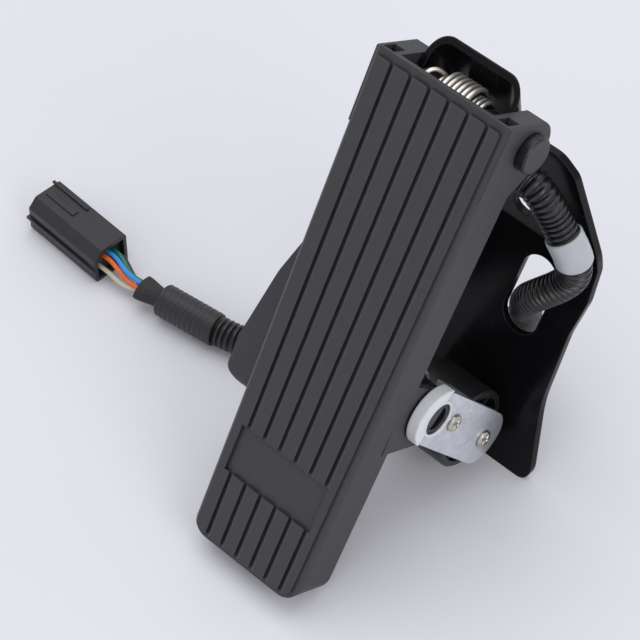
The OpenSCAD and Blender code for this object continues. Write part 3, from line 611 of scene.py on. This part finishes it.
# Each mask rises from 0 at the first value to 1 at the second.
grainAndPaintedLightShape = {
    "patchDetail": 5,
    "patchRoughness": 0.65,
    "patchMask": (0.32, 0.68),
    "grainDetail": 3,
    "grainRoughness": 0.5,
    "edgeSamples": 4,
    "edgeMask": (0.995, 0.9),
    "openSamples": 6,
    "openMask": (0.5, 0.95),
    "paintedShadeMask": (0.92, 0.45),
    # Masks for the painted light on faces that lean to the left, short of the walls.
    "slopeMask": (-0.35, -0.5),
    "wallMask": (-0.9, -0.8),
    # Colour of the painted shade in creases.
    "paintedShadeTone": (0, 0, 0, 1),
}


# A colour of three values with its alpha, or a number as it is.
def socketValue(value):
    return (*value, 1) if isinstance(value, tuple) else value


def feed(group, socket, value):
    if isinstance(value, bpy.types.NodeSocket):
        group.links.new(value, socket)
    else:
        socket.default_value = value


def addNoise(group, place, scale, detail, roughness):
    node = group.nodes.new("ShaderNodeTexNoise")
    for name, value in (("Vector", place), ("Scale", scale), ("Detail", detail), ("Roughness", roughness)):
        feed(group, node.inputs[name], value)
    return node.outputs["Fac"]


def mapped(group, value, span):
    node = group.nodes.new("ShaderNodeMapRange")
    for name, given in (("Value", value), ("From Min", span[0]), ("From Max", span[1])):
        feed(group, node.inputs[name], given)
    return node.outputs["Result"]


def multiplied(group, one, other):
    node = group.nodes.new("ShaderNodeMath")
    node.operation = "MULTIPLY"
    feed(group, node.inputs[0], one)
    feed(group, node.inputs[1], other)
    return node.outputs["Value"]


def mixed(group, kind, factor, one, other):
    node = group.nodes.new("ShaderNodeMix")
    node.data_type = kind
    for name, value in (("Factor", factor), ("A", one), ("B", other)):
        feed(group, node.inputs[name], value)
    return node.outputs["Result"]


# Two noises: a wide one mixes two tones and two roughnesses, a fine one is the grain's height. Where the
# rounded normal leaves the true one is an edge, which is made lighter, partly for wear and partly as a
# painted highlight; where the surroundings close in is a crease, darkened with painted shade; and faces
# that lean to the left, such as the slopes up to the pads, are painted lighter to cancel the shade on them.
def makeGrainAndPaintedLight(g):
    group = bpy.data.node_groups.new("mouldedGrainAndPaintedLight", "ShaderNodeTree")
    for name, key in inputs.items():
        kind = "NodeSocketColor" if isinstance(plain[key], tuple) else "NodeSocketFloat"
        socket = group.interface.new_socket(name=name, in_out="INPUT", socket_type=kind)
        socket.default_value = socketValue(plain[key])
    for name, kind in (("Color", "Color"), ("Roughness", "Float"), ("Normal", "Vector")):
        group.interface.new_socket(name=name, in_out="OUTPUT", socket_type="NodeSocket" + kind)
    nodes = group.nodes
    given = nodes.new("NodeGroupInput").outputs
    result = nodes.new("NodeGroupOutput").inputs
    place = nodes.new("ShaderNodeTexCoord").outputs["Object"]
    surface = nodes.new("ShaderNodeNewGeometry").outputs

    patch = addNoise(group, place, given["Patch Scale"], g["patchDetail"], g["patchRoughness"])
    share = mapped(group, patch, g["patchMask"])
    tone = mixed(group, "RGBA", share, given["Tone"], given["Worn Tone"])
    feed(group, result["Roughness"], mixed(group, "FLOAT", share, given["Smooth"], given["Rough"]))

    rounded = nodes.new("ShaderNodeBevel")
    rounded.samples = g["edgeSamples"]
    feed(group, rounded.inputs["Radius"], given["Edge Radius"])
    bump = nodes.new("ShaderNodeBump")
    feed(group, bump.inputs["Strength"], given["Grain Strength"])
    feed(group, bump.inputs["Distance"], given["Grain Depth"])
    grain = addNoise(group, place, given["Grain Scale"], g["grainDetail"], g["grainRoughness"])
    feed(group, bump.inputs["Height"], grain)
    feed(group, bump.inputs["Normal"], rounded.outputs["Normal"])
    feed(group, result["Normal"], bump.outputs["Normal"])

    # Painted shade: the ambient occlusion darkens creases, and keeps the painted edge highlight to open
    # edges.
    around = nodes.new("ShaderNodeAmbientOcclusion")
    around.samples = g["openSamples"]
    feed(group, around.inputs["Distance"], given["Crease Reach"])
    openTo = mapped(group, around.outputs["AO"], g["openMask"])
    paintedShade = mapped(group, around.outputs["AO"], g["paintedShadeMask"])

    # Where the rounded normal leaves the true one, edges get a lighter tone: partly wear, partly a painted
    # highlight.
    turned = nodes.new("ShaderNodeVectorMath")
    turned.operation = "DOT_PRODUCT"
    feed(group, turned.inputs[0], rounded.outputs["Normal"])
    feed(group, turned.inputs[1], surface["Normal"])
    edge = multiplied(group, mapped(group, turned.outputs["Value"], g["edgeMask"]), openTo)

    # Painted light: faces that lean to the left, short of walls, are made lighter to cancel their shade.
    apart = nodes.new("ShaderNodeSeparateXYZ")
    feed(group, apart.inputs["Vector"], surface["True Normal"])
    leans = mapped(group, apart.outputs["X"], g["slopeMask"])
    slope = multiplied(group, leans, mapped(group, apart.outputs["X"], g["wallMask"]))

    # Mixed over the tone in turn: painted slope light, the edge's wear and painted highlight, and painted
    # crease shade.
    for mask, amount, colour in (
        (slope, "Slope Painted Light Amount", given["Slope Painted Light Tone"]),
        (edge, "Edge Wear And Highlight Amount", given["Edge Wear And Highlight Tone"]),
        (paintedShade, "Painted Crease Shade", g["paintedShadeTone"]),
    ):
        tone = mixed(group, "RGBA", multiplied(group, mask, given[amount]), tone, colour)
    feed(group, result["Color"], tone)
    return group


grainAndPaintedLightGroup = makeGrainAndPaintedLight(grainAndPaintedLightShape)


def makeFinish(name, given):
    look = {**plain, **given}
    material = bpy.data.materials.new(name)
    material.use_nodes = True
    nodes, links = material.node_tree.nodes, material.node_tree.links
    shader = nodes["Principled BSDF"]
    effect = nodes.new("ShaderNodeGroup")
    effect.node_tree = grainAndPaintedLightGroup
    for socket, key in inputs.items():
        effect.inputs[socket].default_value = socketValue(look[key])
    links.new(effect.outputs["Color"], shader.inputs["Base Color"])
    links.new(effect.outputs["Roughness"], shader.inputs["Roughness"])
    links.new(effect.outputs["Normal"], shader.inputs["Normal"])
    for socket, value in look["fixed"].items():
        shader.inputs[socket].default_value = value
    material.diffuse_color = socketValue(look["tone"])
    return material


# Finishes: tones, the scales of the patches and the grain, and the lighter edges (wear and painted
# highlight), painted crease shade and painted slope light they get.

leadSkin = {
    "patch": 200, "grain": 900, "depth": 0.00002, "strength": 0.2, "smooth": 0.3, "rough": 0.42,
}
# In each finish the edge tone is partly wear and partly a painted highlight, and the crease amount paints
# shade into creases and between parts.
looks = {
    "platePaint": {
        "tone": (0.004, 0.004, 0.005), "worn": (0.006, 0.006, 0.007), "patch": 25, "grain": 900,
        "depth": 0.00003, "strength": 0.04, "smooth": 0.16, "rough": 0.24,
        "edge": 0.0009, "edgeWearAndHighlight": (0.06, 0.06, 0.065), "edgeWearAndHighlightAmount": 0.5,
        "fixed": {"Specular IOR Level": 0.13},
    },
    # The treadle's slopes up to the pads are painted lighter against the shade on them; its grooves get
    # painted shade.
    "treadleMould": {
        "tone": (0.035, 0.035, 0.038), "worn": (0.043, 0.043, 0.046), "patch": 260, "grain": 2600,
        "depth": 0.00006, "strength": 0.35, "smooth": 0.50, "rough": 0.62,
        "edge": 0.0005, "edgeWearAndHighlight": (0.08, 0.08, 0.085), "edgeWearAndHighlightAmount": 0.8, "reach": 0.0013, "paintedCreaseShade": 1.0,
        "slope": (0.088, 0.088, 0.094), "sloped": 1.0,
    },
    "housingMould": {
        "tone": (0.034, 0.034, 0.038), "worn": (0.042, 0.042, 0.046), "patch": 45, "grain": 2300,
        "depth": 0.00007, "strength": 0.4, "smooth": 0.48, "rough": 0.6,
        "edge": 0.0006, "edgeWearAndHighlight": (0.06, 0.06, 0.064), "edgeWearAndHighlightAmount": 0.5, "reach": 0.0016, "paintedCreaseShade": 0.6,
    },
    "pinSteel": {
        "tone": (0.016, 0.016, 0.018), "worn": (0.030, 0.030, 0.032), "patch": 180, "grain": 1500,
        "depth": 0.00004, "strength": 0.3, "smooth": 0.3, "rough": 0.45,
        "edge": 0.0005, "edgeWearAndHighlight": (0.09, 0.09, 0.095), "edgeWearAndHighlightAmount": 0.6, "reach": 0.003, "paintedCreaseShade": 0.7,
        "fixed": {"Metallic": 0.3},
    },
    "springSteel": {
        "tone": (0.84, 0.79, 0.72), "worn": (0.76, 0.71, 0.64), "patch": 120, "grain": 900,
        "depth": 0.00001, "strength": 0.05, "smooth": 0.26, "rough": 0.36,
        "edge": 0.0001, "reach": 0.002, "paintedCreaseShade": 0.8,
        "fixed": {"Metallic": 0.8},
    },
    "zincPlate": {
        "tone": (0.80, 0.82, 0.88), "worn": (0.60, 0.62, 0.67), "patch": 220, "grain": 900,
        "depth": 0.00003, "strength": 0.25, "smooth": 0.26, "rough": 0.42,
        "edge": 0.0003, "edgeWearAndHighlight": (0.9, 0.9, 0.93), "edgeWearAndHighlightAmount": 0.6, "reach": 0.0015, "paintedCreaseShade": 0.5,
        "fixed": {"Metallic": 0.8},
    },
    "screwPlate": {
        "tone": (0.62, 0.58, 0.52), "worn": (0.5, 0.47, 0.42), "patch": 400, "grain": 1800,
        "depth": 0.00002, "strength": 0.2, "smooth": 0.2, "rough": 0.35,
        "edge": 0.0001, "reach": 0.001, "paintedCreaseShade": 0.9,
        "fixed": {"Metallic": 1.0},
    },
    "nylonWhite": {
        "tone": (0.78, 0.78, 0.80), "worn": (0.70, 0.71, 0.73), "patch": 120, "grain": 1200,
        "depth": 0.00003, "strength": 0.2, "smooth": 0.35, "rough": 0.5, "edge": 0.0012,
        "fixed": {"Subsurface Weight": 0.1, "Subsurface Radius": (0.002, 0.002, 0.002)},
    },
    "bushNylon": {
        "tone": (0.55, 0.53, 0.46), "worn": (0.48, 0.46, 0.4), "patch": 120, "grain": 1200,
        "depth": 0.00003, "strength": 0.2, "smooth": 0.4, "rough": 0.5, "edge": 0.0003,
    },
    "darkSteel": {
        "tone": (0.04, 0.04, 0.044), "worn": (0.06, 0.06, 0.064), "patch": 300, "grain": 1500,
        "depth": 0.00004, "strength": 0.3, "smooth": 0.3, "rough": 0.45, "edge": 0.0003,
        "fixed": {"Metallic": 0.6},
    },
    "rollerMould": {
        "tone": (0.010, 0.010, 0.011), "worn": (0.016, 0.016, 0.017), "patch": 90, "grain": 1800,
        "depth": 0.00004, "strength": 0.25, "smooth": 0.34, "rough": 0.46,
        "edge": 0.0004, "edgeWearAndHighlight": (0.04, 0.04, 0.042), "edgeWearAndHighlightAmount": 0.5, "reach": 0.003, "paintedCreaseShade": 0.8,
    },
    "conduitMould": {
        "tone": (0.011, 0.011, 0.012), "worn": (0.017, 0.017, 0.019), "patch": 120, "grain": 1500,
        "depth": 0.00004, "strength": 0.2, "smooth": 0.24, "rough": 0.34,
        "edge": 0.0001, "reach": 0.0012, "paintedCreaseShade": 0.97,
    },
    "sleeveMilky": {
        "tone": (0.66, 0.68, 0.72), "worn": (0.58, 0.60, 0.64), "patch": 90, "grain": 700,
        "depth": 0.00006, "strength": 0.2, "smooth": 0.25, "rough": 0.4, "edge": 0.0002,
        "fixed": {"Transmission Weight": 0.25, "IOR": 1.45},
    },
    "sleeveRubber": {
        "tone": (0.016, 0.016, 0.018), "worn": (0.024, 0.024, 0.026), "patch": 90, "grain": 1300,
        "depth": 0.00006, "strength": 0.3, "smooth": 0.36, "rough": 0.5,
        "edge": 0.0002, "reach": 0.0012, "paintedCreaseShade": 0.7,
    },
    "clothTape": {
        "tone": (0.012, 0.012, 0.014), "worn": (0.020, 0.020, 0.022), "patch": 500, "grain": 2200,
        "depth": 0.0002, "strength": 0.5, "smooth": 0.55, "rough": 0.7, "edge": 0.0003,
    },
    "leadCream": {"tone": (0.66, 0.60, 0.48), "worn": (0.58, 0.52, 0.41), **leadSkin},
    "leadOrange": {"tone": (0.86, 0.16, 0.02), "worn": (0.74, 0.12, 0.015), **leadSkin},
    "leadBlue": {"tone": (0.035, 0.30, 0.80), "worn": (0.03, 0.25, 0.68), **leadSkin},
    "leadGreen": {"tone": (0.005, 0.20, 0.13), "worn": (0.004, 0.16, 0.1), **leadSkin},
    "leadBlack": {"tone": (0.014, 0.014, 0.016), "worn": (0.02, 0.02, 0.022), **leadSkin},
    "plugMould": {
        "tone": (0.013, 0.013, 0.015), "worn": (0.022, 0.022, 0.024), "patch": 110, "grain": 1900,
        "depth": 0.00005, "strength": 0.3, "smooth": 0.34, "rough": 0.48,
        "edge": 0.0008, "edgeWearAndHighlight": (0.05, 0.05, 0.055), "edgeWearAndHighlightAmount": 0.5, "reach": 0.0016, "paintedCreaseShade": 0.8,
    },
    "sealRubber": {
        "tone": (0.02, 0.02, 0.022), "worn": (0.03, 0.03, 0.032), "patch": 200, "grain": 1200,
        "depth": 0.00005, "strength": 0.3, "smooth": 0.5, "rough": 0.65,
    },
}
creamLead, orangeLead, blueLead, greenLead, blackLead = wireLeads
wearers = {
    "platePaint": ["base_plate", "hinge_bracket"],
    "treadleMould": ["treadle"],
    "housingMould": ["sensor_housing", "sensor_cover"],
    "pinSteel": ["pivot_pin"],
    "springSteel": ["pin_clip"] + coils,
    "zincPlate": ["lever_right", "lever_left", "roller_axle", "sensor_screws"],
    "screwPlate": [screwHeads],
    "nylonWhite": ["lever_nylon", nylonLip],
    "bushNylon": ["ear_bushes"],
    "darkSteel": ["lever_shaft"],
    "rollerMould": ["roller", "lever_spool", "spring_spool", "shaft_bushes"],
    "conduitMould": [conduit],
    "sleeveMilky": [clearSleeve],
    "sleeveRubber": [blackSleeve, "cable_gland"],
    "clothTape": [tapeNeck],
    "leadCream": [creamLead],
    "leadOrange": [orangeLead],
    "leadBlue": [blueLead],
    "leadGreen": [greenLead],
    "leadBlack": [blackLead],
    "plugMould": ["connector", "connector_lock"],
    "sealRubber": ["connector_seal"],
}
for name, pieces in wearers.items():
    material = makeFinish(name, looks[name])
    for piece in pieces:
        piece = frame["nodes"][piece] if isinstance(piece, str) else piece
        piece.data.materials.clear()
        piece.data.materials.append(material)
print("finishes set")
